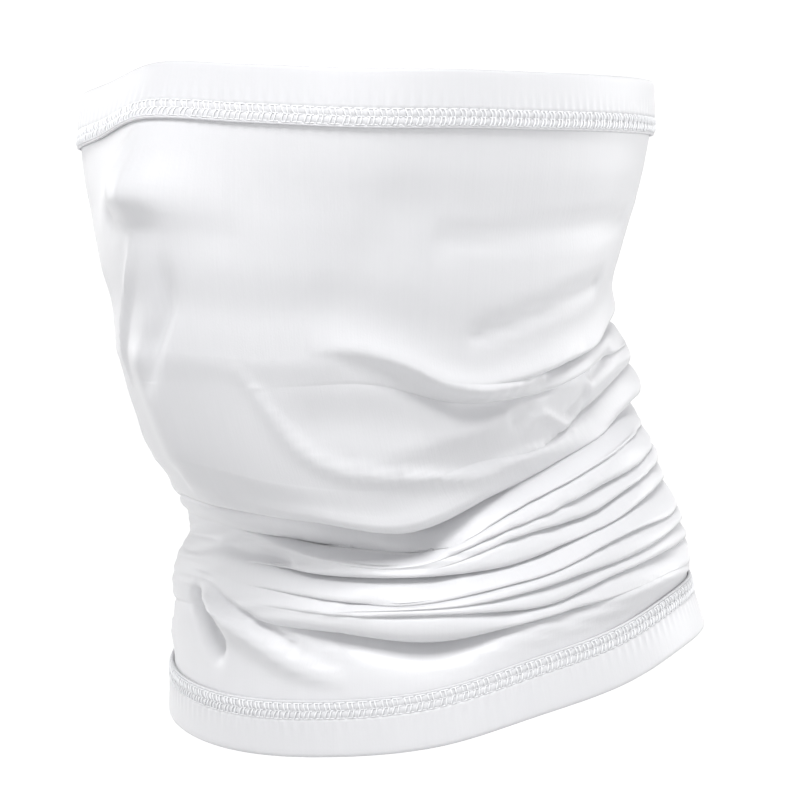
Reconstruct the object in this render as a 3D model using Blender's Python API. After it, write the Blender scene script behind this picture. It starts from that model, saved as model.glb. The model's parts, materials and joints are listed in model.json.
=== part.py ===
# Cooling neck gaiter: a seamless knitted tube worn over the nose, with a turned hem at each end.
# Metres, +Z up. The face looks towards -Y and the wearer's left is +X.
# The origin is the middle of the top opening, where the nose bridge and the nape hold the tube.
import math

import bpy
import numpy as np

# Sizes of the tube as worn
FULL_HEIGHT = 0.220
HALF_WIDTH = 0.081
FRONT_RADIUS = 0.086
BACK_RADIUS = 0.100
NOSE_RISE = 0.020
NECK_SHIFT = 0.031
FOLD_DEPTH = 0.0070
DENT_DEPTH = 0.0060
DENT_WIDTH = 0.0080

# Sizes of the cloth and of its hems
CLOTH = 0.0010
SEAT_GAP = 0.0003
HEM_DEPTH = 0.0180
STITCH_BAND = 0.0065

# How fine the solids are cut
COLUMNS = 54
FRONT_CROWDING = 0.30

# Cross-sections from top to bottom. The level counts down the tube from 0 to 1.
# shift is a share of NECK_SHIFT, side of HALF_WIDTH, front of FRONT_RADIUS, back of BACK_RADIUS,
# nose of NOSE_RISE. square is the superellipse power of the front half, nose_turn is in degrees.
SECTIONS = [
    # level, shift, side, front, back, square, nose, nose_turn
    (0.010, 0.00, 0.99, 0.95, 1.05, 3.00, 0.30, 18.0),
    (0.085, 0.00, 1.00, 0.98, 1.04, 2.90, 0.45, 17.0),
    (0.145, 0.00, 0.99, 1.00, 1.01, 2.70, 0.70, 15.0),
    (0.205, 0.00, 0.96, 1.01, 0.98, 2.50, 0.98, 14.0),
    (0.245, 0.00, 0.95, 1.02, 0.94, 2.33, 0.75, 15.0),
    (0.285, 0.00, 0.94, 1.02, 0.90, 2.20, 0.52, 17.0),
    (0.360, 0.00, 0.90, 1.00, 0.85, 2.05, 0.42, 17.0),
    (0.410, 0.02, 0.89, 0.99, 0.87, 2.04, 0.38, 17.0),
    (0.455, 0.10, 0.89, 1.01, 0.95, 2.03, 0.35, 18.0),
    (0.560, 0.45, 0.82, 1.00, 0.92, 2.03, 0.30, 20.0),
    (0.592, 0.62, 0.82, 0.98, 0.88, 2.00, 0.22, 20.0),
    (0.615, 0.71, 0.84, 0.99, 0.82, 2.00, 0.12, 20.0),
    (0.636, 0.84, 0.92, 0.92, 0.76, 2.05, 0.00, 20.0),
    (0.675, 0.97, 0.96, 0.94, 0.77, 2.05, 0.00, 20.0),
    (0.700, 0.97, 0.99, 0.97, 0.79, 2.05, 0.00, 20.0),
    (0.730, 1.00, 1.04, 0.99, 0.82, 2.05, 0.00, 20.0),
    (0.800, 1.00, 1.06, 1.00, 0.86, 2.05, 0.00, 20.0),
    (0.870, 1.00, 1.03, 1.00, 0.85, 2.05, 0.00, 20.0),
    (0.950, 1.05, 1.07, 1.01, 0.89, 2.05, 0.00, 20.0),
]

# Turn of each named direction, counted from the nose towards the wearer's left, in degrees
DIRECTIONS = (0, 45, 90, 135, 180, 225, 270, 315)

# How far each line lies below the origin, in each direction, as shares of FULL_HEIGHT
LINE_DROPS = {
    # level, front, front_left, left, back_left, back, back_right, right, front_right
    "top_edge": (0.020, 0.009, 0.025, 0.021, 0.015, 0.013, 0.016, 0.026, 0.041),
    "cheek_crease": (0.410, 0.397, 0.421, 0.458, 0.383, 0.356, 0.386, 0.435, 0.393),
    "cheek_hollow": (0.455, 0.437, 0.450, 0.482, 0.421, 0.405, 0.425, 0.465, 0.443),
    "jaw_fold": (0.560, 0.570, 0.612, 0.559, 0.455, 0.435, 0.465, 0.544, 0.583),
    "chin_fold": (0.615, 0.638, 0.675, 0.589, 0.509, 0.494, 0.514, 0.593, 0.648),
    "gather_1": (0.636, 0.677, 0.696, 0.606, 0.536, 0.524, 0.544, 0.623, 0.664),
    "gather_2": (0.655, 0.696, 0.706, 0.633, 0.565, 0.554, 0.568, 0.648, 0.682),
    "gather_3": (0.675, 0.707, 0.720, 0.654, 0.586, 0.578, 0.593, 0.672, 0.699),
    "gather_4": (0.700, 0.724, 0.744, 0.682, 0.615, 0.603, 0.623, 0.697, 0.721),
    "gather_5": (0.730, 0.758, 0.772, 0.704, 0.656, 0.648, 0.662, 0.722, 0.743),
    "gather_6": (0.765, 0.780, 0.797, 0.747, 0.714, 0.692, 0.707, 0.751, 0.770),
    "gather_7": (0.795, 0.808, 0.832, 0.773, 0.739, 0.727, 0.741, 0.781, 0.796),
    "bottom_edge": (0.955, 1.000, 0.978, 0.902, 0.842, 0.840, 0.865, 0.919, 0.966),
}

# How deep each fold is pressed in, in each direction, as shares of FOLD_DEPTH
FOLD_DEPTHS = {
    # front, front_left, left, back_left, back, back_right, right, front_right
    "cheek_crease": (0.05, 0.25, 0.35, 0.45, 0.35, 0.30, 0.25, 0.05),
    "cheek_hollow": (0.10, 0.60, 0.55, 0.45, 0.35, 0.35, 0.40, 0.08),
    "jaw_fold": (0.10, 0.45, 0.30, 0.45, 0.40, 0.35, 0.30, 0.05),
    "chin_fold": (0.75, 0.90, 0.70, 0.50, 0.45, 0.45, 0.60, 0.45),
    "gather_1": (0.15, 0.60, 0.65, 0.55, 0.40, 0.45, 0.50, 0.05),
    "gather_2": (0.05, 0.15, 0.55, 0.50, 0.35, 0.40, 0.30, 0.05),
    "gather_3": (0.35, 0.60, 0.65, 0.55, 0.45, 0.50, 0.50, 0.05),
    "gather_4": (0.55, 0.75, 0.70, 0.50, 0.40, 0.45, 0.55, 0.10),
    "gather_5": (0.45, 0.75, 0.65, 0.50, 0.45, 0.50, 0.55, 0.05),
    "gather_6": (0.15, 0.55, 0.60, 0.55, 0.45, 0.45, 0.50, 0.05),
    "gather_7": (0.60, 0.65, 0.50, 0.40, 0.35, 0.40, 0.45, 0.40),
}

# The shape of a fold, as shares of FOLD_DEPTH (sizes) or of its own depth (overhang, lift)
LIP_SIZE = 0.22
SHOULDER_SIZE = 0.45
LIFT_SIZE = 0.55
OVERHANG = 0.40
LIFT = 0.28

# A fold is no deeper than this share of the cloth between it and the next fold
STEEPEST_FOLD = 0.75

# How far the turned edge of a hem is rounded over, as a share of CLOTH
EDGE_ROUNDING = 0.60

# Soft dents (rise below 0) and ridges (rise above 0), each along a short line on the tube.
# Turns are in degrees, drops are shares of FULL_HEIGHT, spread of DENT_WIDTH, rise of DENT_DEPTH.
DENTS = {
    # turn_from, drop_from, turn_to, drop_to, spread, rise
    "under_nose": (-10, 0.215, 10, 0.240, 0.65, -0.60),
    "lip_ridge": (-1, 0.273, -12, 0.400, 0.40, 0.35),
    "lip_hollow": (3, 0.330, -4, 0.450, 0.50, -0.40),
    "chin_front": (2, 0.430, 6, 0.560, 1.00, 0.25),
    "temple_crease": (63, 0.255, 128, 0.228, 0.50, -0.15),
    "ear_crease_high": (125, 0.330, 98, 0.360, 0.50, -0.30),
    "ear_crease_low": (98, 0.360, 76, 0.420, 0.50, -0.30),
    "cheek_ridge": (22, 0.435, 30, 0.575, 0.50, 0.35),
    "jaw_hollow": (33, 0.535, 52, 0.535, 0.80, -0.40),
    "jaw_ridge": (40, 0.590, 76, 0.530, 0.45, 0.30),
    "chin_pocket": (-6, 0.660, 24, 0.690, 0.60, -0.35),
    "side_tuck": (88, 0.505, 99, 0.525, 0.35, -0.35),
    "nape_tuck": (105, 0.540, 120, 0.490, 0.35, -0.35),
    "front_slant": (-16, 0.757, 5, 0.840, 0.35, -0.50),
    "front_slant_low": (7, 0.843, 22, 0.888, 0.35, -0.20),
    "front_wedge": (-14, 0.800, -3, 0.870, 0.35, -0.40),
    "front_roll": (-8, 0.805, 27, 0.898, 0.50, 0.35),
    "right_cheek_crease": (-125, 0.330, -80, 0.400, 0.50, -0.30),
    "right_jaw_hollow": (-75, 0.500, -48, 0.530, 0.80, -0.35),
    "right_jaw_ridge": (-85, 0.500, -40, 0.560, 0.50, 0.30),
    "back_slant": (170, 0.760, 205, 0.700, 0.50, 0.30),
    "right_slant": (-95, 0.800, -60, 0.860, 0.50, -0.35),
}


def smooth_between(levels, rows, wanted):
    """Values of a table between its rows: a smooth curve that never overshoots a row."""
    levels, rows, wanted = np.asarray(levels), np.asarray(rows, float), np.asarray(wanted, float)
    step = np.diff(levels)[:, None]
    rate = np.diff(rows, axis=0) / step
    slope = np.vstack([rate[:1], np.zeros((len(rows) - 2, rows.shape[1])), rate[-1:]])
    same_way = rate[:-1] * rate[1:] > 0
    mean = 2 * rate[:-1] * rate[1:] / np.where(same_way, rate[:-1] + rate[1:], 1.0)
    slope[1:-1] = np.where(same_way, mean, 0.0)
    at = np.clip(np.searchsorted(levels, wanted, side="right") - 1, 0, len(levels) - 2)
    s = ((wanted - levels[at]) / np.diff(levels)[at])[:, None]
    low, high, h = rows[at], rows[at + 1], step[at]
    inside = ((1 + 2 * s) * (1 - s) ** 2 * low + s * (1 - s) ** 2 * h * slope[at]
              + s * s * (3 - 2 * s) * high + s * s * (s - 1) * h * slope[at + 1])
    below = low + (s * h) * slope[at]
    above = high + ((s - 1) * h) * slope[at + 1]
    return np.where(s < 0, below, np.where(s > 1, above, inside))


def around(values, turns):
    """Values given in the eight named directions, carried smoothly round the tube."""
    values = np.asarray(values, float)
    place = (turns % 360.0) / 45.0
    first = np.floor(place).astype(int)
    s = place - first
    before, low, high, after = (values[..., (first + k) % 8] for k in (-1, 0, 1, 2))
    return low + s / 2 * ((high - before) + (2 * before - 5 * low + 4 * high - after) * s
                          + (3 * low - before - 3 * high + after) * s ** 2)


def fading(distance, length, size):
    """1 at the fold itself, 0 at the far end of the cloth between two folds."""
    end = np.exp(-length / size)
    return (np.exp(-distance / size) - end) / (1 - end)


def tube_lines(turns):
    """Names, levels, drops and fold depths of all the lines round the tube, from top to bottom."""
    plain, full = (HEM_DEPTH - STITCH_BAND) / FULL_HEIGHT, HEM_DEPTH / FULL_HEIGHT
    seat = SEAT_GAP / FULL_HEIGHT
    names, levels, drops, depths = [], [], [], []

    def add(name, level, drop, depth=0.0):
        names.append(name)
        levels.append(level)
        drops.append(drop)
        depths.append(np.zeros(len(turns)) + depth)

    for name, (level, *row) in LINE_DROPS.items():
        drop = around(row, turns)
        if name == "top_edge":
            add("top_edge", level, drop)
            add("top_lap", level + plain, drop + plain)
            add("body_top", level + plain + seat, drop + plain + seat)
            add("top_seam", level + full, drop + full)
        elif name == "bottom_edge":
            add("bottom_seam", level - full, drop - full)
            add("body_bottom", level - plain - seat, drop - plain - seat)
            add("bottom_lap", level - plain, drop - plain)
            add("bottom_edge", level, drop)
        else:
            add(name, level, drop, np.clip(around(FOLD_DEPTHS[name], turns), 0, None) * FOLD_DEPTH)
    levels, drops, depths = np.array(levels), np.array(drops) * FULL_HEIGHT, np.array(depths)
    room = np.minimum(drops[1:-1] - drops[:-2], drops[2:] - drops[1:-1])
    depths[1:-1] = np.minimum(depths[1:-1], STEEPEST_FOLD * np.maximum(room, 0))
    return names, levels, drops, depths


def dent_rise(turns, drops):
    """Rise of the dents and ridges at each turn and drop. The stitched hems stay free of them."""
    rise = np.zeros_like(drops)
    seams = tube_lines(turns)[2]
    to_hem = np.minimum(drops - seams[3], seams[-4] - drops)
    free = 1 - np.exp(-(np.clip(to_hem, 0, None) / DENT_WIDTH) ** 2)
    for turn_a, drop_a, turn_b, drop_b, spread, height in DENTS.values():
        across = (turns - turn_a + 180) % 360 - 180
        x = np.radians(across) * HALF_WIDTH + np.zeros_like(drops)
        y = drops - drop_a * FULL_HEIGHT
        run_x = np.radians(turn_b - turn_a) * HALF_WIDTH
        run_y = (drop_b - drop_a) * FULL_HEIGHT
        along = np.clip((x * run_x + y * run_y) / (run_x ** 2 + run_y ** 2), 0, 1)
        away = np.hypot(x - along * run_x, y - along * run_y) / (spread * DENT_WIDTH)
        rise += height * DENT_DEPTH * np.exp(-away ** 2)
    return rise * free


def section_point(turns, levels, out, drops):
    """Points of the tube: the cross-section of each level, moved outwards by out."""
    table = np.array(SECTIONS)
    rows = smooth_between(table[:, 0], table[:, 1:], levels)[:, :, None]
    shift, side, front, back, square, nose, nose_turn = (rows[:, k] for k in range(7))
    s, c = np.abs(np.sin(np.radians(turns))), np.cos(np.radians(turns))
    ahead = c > 0
    power = np.where(ahead, square, 2.2)
    reach = np.where(ahead, front * FRONT_RADIUS, back * BACK_RADIUS)
    radius = ((s / (side * HALF_WIDTH)) ** power + (np.abs(c) / reach) ** power) ** (-1 / power)
    radius = radius + nose * NOSE_RISE * np.exp(-np.abs(turns / nose_turn) ** 1.6) + out
    return np.stack([radius * np.sin(np.radians(turns)),
                     shift * NECK_SHIFT - radius * c, -drops], axis=-1)


def skin(turns, steps):
    """Rows of points on the outer face. steps holds, per row, a line number and a share to the next."""
    names, levels, drops, depths = tube_lines(turns)
    at = np.array([line for line, share in steps])
    share = np.array([share for line, share in steps])
    above = np.minimum(at, len(names) - 2)
    s = (at - above + share)[:, None]
    level = levels[above] + s[:, 0] * (levels[above + 1] - levels[above])
    drop = smooth_between(levels, drops, level)
    length = drops[above + 1] - drops[above]
    high, low = depths[above], depths[above + 1]
    shoulder = fading(s * length, length, SHOULDER_SIZE * FOLD_DEPTH)
    lip = fading((1 - s) * length, length, LIP_SIZE * FOLD_DEPTH)
    near = (1 - s) * length / (LIFT_SIZE * FOLD_DEPTH)
    lift = near * np.exp(1 - near) * s * (2 - s)
    out = -high * shoulder - low * lip + LIFT * low * lift
    hang_low = np.minimum(OVERHANG * low, 0.35 * length)
    before = np.vstack([length[:1], drops[1:] - drops[:-1]])[above]
    hang_high = np.minimum(OVERHANG * high, 0.35 * before)
    drop = drop - hang_low * lip - hang_high * fading(s * length, length, LIP_SIZE * FOLD_DEPTH)
    out = out + dent_rise(turns, drop)
    return section_point(turns, level, out, drop)


def outward(points):
    """Outward unit normals of a grid of points that closes round the tube."""
    down = np.vstack([points[1:2] - points[:1], points[2:] - points[:-2], points[-1:] - points[-2:-1]])
    across = np.roll(points, -1, axis=1) - np.roll(points, 1, axis=1)
    normal = np.cross(down, across)
    return normal / np.linalg.norm(normal, axis=-1, keepdims=True)


def ring_solid(name, rows, colour):
    """A closed band: its rows of points run down one face and back up the other.
    Facing cells are cut along the same diagonal, so both faces of the cloth stay parallel."""
    count, columns = len(rows), rows.shape[1]
    faces = []
    for i in range(count):
        goes_down = rows[(i + 1) % count, :, 2].mean() < rows[i, :, 2].mean()
        for j in range(columns):
            a, b = i * columns + j, i * columns + (j + 1) % columns
            c, d = ((i + 1) % count) * columns + (j + 1) % columns, ((i + 1) % count) * columns + j
            faces += [(a, c, b), (a, d, c)] if goes_down else [(a, d, b), (b, d, c)]
    mesh = bpy.data.meshes.new(name)
    mesh.from_pydata([tuple(p) for p in rows.reshape(-1, 3)], [], faces)
    mesh.validate()
    piece = bpy.data.objects.new(name, mesh)
    bpy.context.scene.collection.objects.link(piece)
    material = bpy.data.materials.new(name + "_knit")
    material.use_nodes = True
    shader = material.node_tree.nodes["Principled BSDF"]
    shader.inputs["Base Color"].default_value = colour
    shader.inputs["Roughness"].default_value = 0.8
    mesh.materials.append(material)
    return piece


def column_turns():
    """Turns of the columns in degrees, closer together round the nose."""
    even = 2 * math.pi * np.arange(COLUMNS) / COLUMNS
    turns = np.degrees(even - FRONT_CROWDING * np.sin(even))
    return (turns + 180) % 360 - 180


def row_steps(names, drops):
    """Rows of the solids: every line, and a few rows of cloth between two lines."""
    steps = []
    for k in range(len(names) - 1):
        length = float(np.mean(drops[k + 1] - drops[k]))
        steps.append((k, 0.0))
        if names[k] in ("top_seam", "bottom_seam") or names[k + 1] == "bottom_seam":
            between = 4 if names[k] == "top_seam" else 3 if names[k + 1] == "bottom_seam" else 0
            steps += [(k, (i + 1) / (between + 1)) for i in range(between)]
        elif names[k + 1] in FOLD_DEPTHS:
            between = 2 if length > 0.10 * FULL_HEIGHT else 1
            last = 1 - min(0.30, 0.35 * FOLD_DEPTH / length)
            steps += [(k, last * (i + 1) / (between + 1)) for i in range(between)] + [(k, last)]
    steps.append((len(names) - 1, 0.0))
    return steps


def build():
    for old in list(bpy.data.objects):
        bpy.data.objects.remove(old, do_unlink=True)

    turns = column_turns()
    names, levels, drops, depths = tube_lines(turns)
    steps = row_steps(names, drops)
    grid = skin(turns, steps)
    normal = outward(grid)
    row_of = {names[line]: k for k, (line, share) in enumerate(steps) if share == 0.0}

    def at(line, offset):
        return grid[row_of[line]] + offset * normal[row_of[line]]

    first, last = row_of["body_top"], row_of["body_bottom"]
    outer = grid[first:last + 1]
    inner = outer - CLOTH * normal[first:last + 1]
    ring_solid("body_tube", np.concatenate([outer, inner[::-1]]), (0.88, 0.90, 0.92, 1))

    out, inside, lap = SEAT_GAP + CLOTH, -CLOTH, SEAT_GAP
    for name, edge, step, seam, colour in (
            ("top_hem", "top_edge", "top_lap", "top_seam", (0.88, 0.90, 0.92, 1)),
            ("bottom_hem", "bottom_edge", "bottom_lap", "bottom_seam", (0.88, 0.90, 0.92, 1))):
        fold = (at(step, 0.0) - at(edge, 0.0)) * (EDGE_ROUNDING * CLOTH / (HEM_DEPTH - STITCH_BAND))
        rows = [at(seam, lap), at(seam, out), at(step, out), at(edge, out) + fold,
                at(edge, (out + inside) / 2), at(edge, inside) + fold, at(step, inside), at(step, lap)]
        rows = rows if name == "bottom_hem" else rows[::-1]
        ring_solid(name, np.array(rows), colour)


build()
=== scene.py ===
# %% [markdown]
# # A cooling neck gaiter
# The object is one seamless tube of smooth white stretch knit, pulled up over the nose. It is tight
# over the face, and the spare length sinks into soft rolls round the neck. Each end is turned in
# and held by a band of cover stitch. This lesson builds the cloth, its two hems and the stitches,
# gives them a knit finish, and lights them like a catalogue picture.
#
# The rigid model is loaded first. It gives the sizes that the visible cloth has to keep to.

# %% Load the rigid model
import json
import math

import bmesh
import bpy
import numpy as np
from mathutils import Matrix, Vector

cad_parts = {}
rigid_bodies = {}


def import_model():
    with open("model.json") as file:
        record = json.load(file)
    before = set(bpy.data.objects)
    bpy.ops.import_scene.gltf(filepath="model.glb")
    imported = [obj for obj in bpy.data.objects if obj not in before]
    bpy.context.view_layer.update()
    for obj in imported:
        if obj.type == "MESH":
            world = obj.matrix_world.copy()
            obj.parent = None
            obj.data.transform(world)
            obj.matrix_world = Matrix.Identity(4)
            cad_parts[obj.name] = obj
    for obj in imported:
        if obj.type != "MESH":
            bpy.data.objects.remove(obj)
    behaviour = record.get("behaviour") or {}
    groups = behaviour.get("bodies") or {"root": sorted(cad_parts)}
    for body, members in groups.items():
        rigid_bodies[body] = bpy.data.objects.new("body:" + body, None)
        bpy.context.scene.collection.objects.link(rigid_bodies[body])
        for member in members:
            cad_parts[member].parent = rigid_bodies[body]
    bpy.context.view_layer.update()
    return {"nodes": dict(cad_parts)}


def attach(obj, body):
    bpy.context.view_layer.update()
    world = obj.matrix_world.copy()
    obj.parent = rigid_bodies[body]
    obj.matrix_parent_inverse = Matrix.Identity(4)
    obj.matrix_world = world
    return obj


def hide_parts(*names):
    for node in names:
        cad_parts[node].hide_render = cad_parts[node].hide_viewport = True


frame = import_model()
print("nodes:", list(frame["nodes"]))

# %% [markdown]
# ## The camera
# The tube is seen from its front left, almost level. A long lens from just over a metre away keeps
# the hems nearly flat ellipses. The place that the camera looks at is worked out from where the
# middle of the top opening sits in an 800 by 800 picture.

# %% Camera
VIEW_TURN = math.radians(45)
VIEW_RISE = math.radians(2)
DISTANCE = 1.10
PICTURE, METRES_PER_PIXEL = 800, 0.00033
OPENING_PIXEL = (363, 70)
SENSOR = 36

picture_right = np.array([math.cos(VIEW_TURN), math.sin(VIEW_TURN), 0.0])
towards_camera = np.array([math.sin(VIEW_TURN) * math.cos(VIEW_RISE),
                           -math.cos(VIEW_TURN) * math.cos(VIEW_RISE), math.sin(VIEW_RISE)])
target = (picture_right * (PICTURE / 2 - OPENING_PIXEL[0]) * METRES_PER_PIXEL
          + np.array([0, 0, -(PICTURE / 2 - OPENING_PIXEL[1]) * METRES_PER_PIXEL]))

camera = bpy.data.objects.new("camera", bpy.data.cameras.new("camera"))
bpy.context.scene.collection.objects.link(camera)
camera.data.sensor_width = SENSOR
camera.data.lens = SENSOR * DISTANCE / (PICTURE * METRES_PER_PIXEL)
camera.location = target + DISTANCE * towards_camera
camera.rotation_mode = "QUATERNION"
camera.rotation_quaternion = Vector(-towards_camera).to_track_quat("-Z", "Y")
bpy.context.scene.camera = camera
print("camera at", [round(v, 3) for v in camera.location], "lens", round(camera.data.lens, 1), "mm")

# %% [markdown]
# ## Sizes and the cross-sections
# Cloth that is worn takes the shape of what is under it, so the tube is described by level
# cross-sections, like the ribs of a boat. Each is half an ellipse at the back and a squarer curve
# in front, with a soft ridge for the nose. The lengths are shares of a few named sizes.

# %% Sizes and cross-sections
FULL_HEIGHT, HALF_WIDTH = 0.220, 0.081
FRONT_RADIUS, BACK_RADIUS = 0.086, 0.100
NOSE_RISE, NOSE_POWER, NECK_SHIFT = 0.020, 1.6, 0.031
BACK_SQUARE = 2.2
FOLD_DEPTH, GATHER_DEPTH, DENT_DEPTH, DENT_WIDTH = 0.0070, 0.0088, 0.0060, 0.0080
CLOTH, SEAT_GAP = 0.0010, 0.0003
HEM_DEPTH, STITCH_BAND = 0.0180, 0.0065

SECTIONS = np.array([
    # level, shift, side, front, back, square, nose, nose_turn
    (0.010, 0.00, 0.99, 0.95, 1.05, 3.00, 0.30, 18.0),
    (0.085, 0.00, 1.00, 0.98, 1.04, 2.90, 0.45, 17.0),
    (0.145, 0.00, 0.99, 1.00, 1.01, 2.70, 0.70, 15.0),
    (0.205, 0.00, 0.96, 1.01, 0.98, 2.50, 0.98, 14.0),
    (0.245, 0.00, 0.95, 1.02, 0.94, 2.33, 0.75, 15.0),
    (0.285, 0.00, 0.94, 1.02, 0.90, 2.20, 0.52, 17.0),
    (0.360, 0.00, 0.90, 1.00, 0.85, 2.05, 0.42, 17.0),
    (0.410, 0.03, 0.89, 1.00, 0.87, 2.04, 0.38, 17.0),
    (0.455, 0.12, 0.89, 0.995, 0.95, 2.03, 0.35, 18.0),
    (0.560, 0.45, 0.82, 1.00, 0.92, 2.03, 0.30, 20.0),
    (0.592, 0.62, 0.82, 0.98, 0.88, 2.00, 0.22, 20.0),
    (0.615, 0.71, 0.84, 0.99, 0.82, 2.00, 0.12, 20.0),
    (0.636, 0.84, 0.92, 0.92, 0.76, 2.05, 0.00, 20.0),
    (0.675, 0.97, 0.96, 0.94, 0.77, 2.05, 0.00, 20.0),
    (0.700, 0.97, 0.99, 0.97, 0.79, 2.05, 0.00, 20.0),
    (0.730, 1.00, 1.04, 0.99, 0.82, 2.05, 0.00, 20.0),
    (0.800, 1.00, 1.06, 1.00, 0.86, 2.05, 0.00, 20.0),
    (0.870, 1.00, 1.03, 1.00, 0.85, 2.05, 0.00, 20.0),
    (0.950, 1.05, 1.07, 1.01, 0.89, 2.05, 0.00, 20.0),
])


def smooth_between(levels, rows, wanted):
    """A smooth curve through the rows of a table, which never overshoots a row."""
    step = np.diff(levels)[:, None]
    rate = np.diff(rows, axis=0) / step
    same_way = rate[:-1] * rate[1:] > 0
    mean = 2 * rate[:-1] * rate[1:] / np.where(same_way, rate[:-1] + rate[1:], 1.0)
    slope = np.vstack([rate[:1], np.where(same_way, mean, 0.0), rate[-1:]])
    at = np.clip(np.searchsorted(levels, wanted, side="right") - 1, 0, len(levels) - 2)
    s = ((wanted - levels[at]) / np.diff(levels)[at])[:, None]
    low, high, h = rows[at], rows[at + 1], step[at]
    inside = ((1 + 2 * s) * (1 - s) ** 2 * low + s * (1 - s) ** 2 * h * slope[at]
              + s * s * (3 - 2 * s) * high + s * s * (s - 1) * h * slope[at + 1])
    return np.where(s < 0, low + s * h * slope[at],
                    np.where(s > 1, high + (s - 1) * h * slope[at + 1], inside))


def section_point(turns, levels, out, drops):
    """Points of the tube: the cross-section of each level, moved outwards by out."""
    rows = smooth_between(SECTIONS[:, 0], SECTIONS[:, 1:], levels)[:, :, None]
    shift, side, front, back, square, nose, nose_turn = (rows[:, k] for k in range(7))
    s, c = np.abs(np.sin(np.radians(turns))), np.cos(np.radians(turns))
    ahead = c > 0
    power = np.where(ahead, square, BACK_SQUARE)
    reach = np.where(ahead, front * FRONT_RADIUS, back * BACK_RADIUS)
    radius = ((s / (side * HALF_WIDTH)) ** power + (np.abs(c) / reach) ** power) ** (-1 / power)
    radius = radius + nose * NOSE_RISE * np.exp(-np.abs(turns / nose_turn) ** NOSE_POWER) + out
    return np.stack([radius * np.sin(np.radians(turns)),
                     shift * NECK_SHIFT - radius * c, -drops], axis=-1)


some_turns = np.linspace(-180, 180, 721)
for level in (0.02, 0.45, 0.62, 0.95):
    ring = section_point(some_turns, np.array([level]), 0.0, np.zeros((1, 721)))[0]
    girth = np.linalg.norm(np.diff(ring, axis=0), axis=1).sum()
    print("level", level, "is", round(1000 * girth), "mm round")

# %% [markdown]
# ## The fold lines
# Knit cloth that is pushed down a neck does not crumple at random. It lies in rolls, and between
# two rolls it turns in sharply, so the valleys can be drawn as lines round the tube. Each line has
# its drop from the top and its depth in sixteen directions, counted from the nose to the left.
# The last column of the depths says how soft the turn is: 1 is a sharp pinch, 3 a rounded hollow.

# %% Fold lines
DIRECTIONS = 16
LINE_DROPS = {
    # level, then shares of FULL_HEIGHT every 22.5 degrees from the nose
    "top_edge": (0.020, 0.009, 0.017, 0.025, 0.023, 0.021, 0.018, 0.015, 0.013,
                 0.013, 0.014, 0.016, 0.020, 0.026, 0.034, 0.040, 0.032),
    "cheek_crease": (0.410, 0.414, 0.426, 0.424, 0.460, 0.458, 0.430, 0.383, 0.362,
                     0.356, 0.368, 0.386, 0.412, 0.435, 0.425, 0.410, 0.412),
    "cheek_hollow": (0.455, 0.460, 0.466, 0.462, 0.491, 0.484, 0.454, 0.421, 0.408,
                     0.405, 0.412, 0.425, 0.447, 0.468, 0.466, 0.458, 0.459),
    "jaw_fold": (0.560, 0.572, 0.603, 0.612, 0.577, 0.559, 0.511, 0.455, 0.440,
                 0.435, 0.446, 0.465, 0.505, 0.544, 0.570, 0.583, 0.572),
    "chin_fold": (0.615, 0.646, 0.671, 0.686, 0.634, 0.589, 0.548, 0.509, 0.497,
                  0.494, 0.500, 0.514, 0.552, 0.593, 0.628, 0.648, 0.634),
    "gather_1": (0.636, 0.680, 0.707, 0.710, 0.655, 0.608, 0.563, 0.536, 0.526,
                 0.524, 0.530, 0.544, 0.583, 0.623, 0.650, 0.664, 0.662),
    "gather_2": (0.655, 0.695, 0.717, 0.719, 0.672, 0.633, 0.590, 0.565, 0.556,
                 0.554, 0.558, 0.568, 0.607, 0.648, 0.672, 0.682, 0.682),
    "gather_3": (0.675, 0.709, 0.726, 0.728, 0.688, 0.654, 0.613, 0.586, 0.580,
                 0.578, 0.583, 0.593, 0.632, 0.672, 0.692, 0.699, 0.700),
    "gather_4": (0.700, 0.724, 0.743, 0.744, 0.719, 0.682, 0.641, 0.615, 0.606,
                 0.603, 0.611, 0.623, 0.660, 0.697, 0.716, 0.721, 0.718),
    "gather_5": (0.730, 0.756, 0.777, 0.772, 0.748, 0.704, 0.672, 0.656, 0.650,
                 0.648, 0.653, 0.662, 0.693, 0.722, 0.739, 0.743, 0.740),
    "gather_5b": (0.748, 0.768, 0.785, 0.784, 0.766, 0.727, 0.697, 0.680, 0.672,
                  0.669, 0.674, 0.684, 0.712, 0.737, 0.752, 0.757, 0.753),
    "gather_6": (0.765, 0.780, 0.793, 0.796, 0.784, 0.748, 0.720, 0.706, 0.696,
                 0.692, 0.697, 0.707, 0.731, 0.752, 0.766, 0.770, 0.767),
    "gather_7": (0.795, 0.806, 0.826, 0.832, 0.806, 0.774, 0.746, 0.736, 0.730,
                 0.727, 0.732, 0.741, 0.762, 0.781, 0.793, 0.797, 0.793),
    "bottom_edge": (0.955, 1.000, 0.996, 0.978, 0.936, 0.901, 0.860, 0.842, 0.838,
                    0.840, 0.849, 0.865, 0.892, 0.919, 0.945, 0.966, 0.988),
}
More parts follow.
